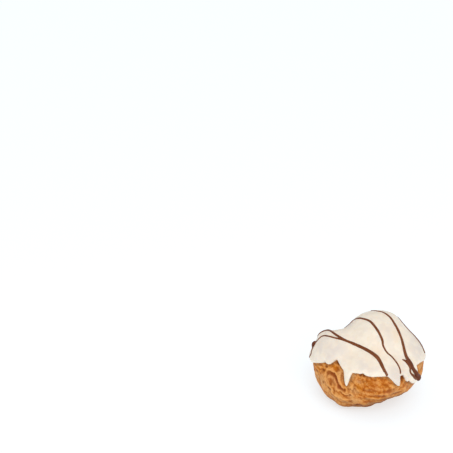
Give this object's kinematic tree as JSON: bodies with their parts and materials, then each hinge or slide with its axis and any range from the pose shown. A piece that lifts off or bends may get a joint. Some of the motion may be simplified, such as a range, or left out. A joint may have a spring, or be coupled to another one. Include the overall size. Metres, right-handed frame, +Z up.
{
  "type": "cream puff",
  "caption": "Small baked choux puff, uneven and rounded, with a crisp golden crust under a cap of pale icing with drips and thin dark drizzle strands.",
  "frame": {"origin": "middle of the puff's outline at the level of its flat foot, where it stands on a surface", "axes": "+Z up through the crown, -Y to the front, +X to the right seen from the front"},
  "size_m": [0.0529, 0.0491, 0.0397],
  "materials": {
    "crust": "matt golden-brown baked crust",
    "icing": "satin creamy-white icing",
    "drizzle": "satin milk-chocolate drizzle"
  },
  "bodies": {
    "root": {"pastry": "crust", "icing": "icing"}
  },
  "joints": []
}
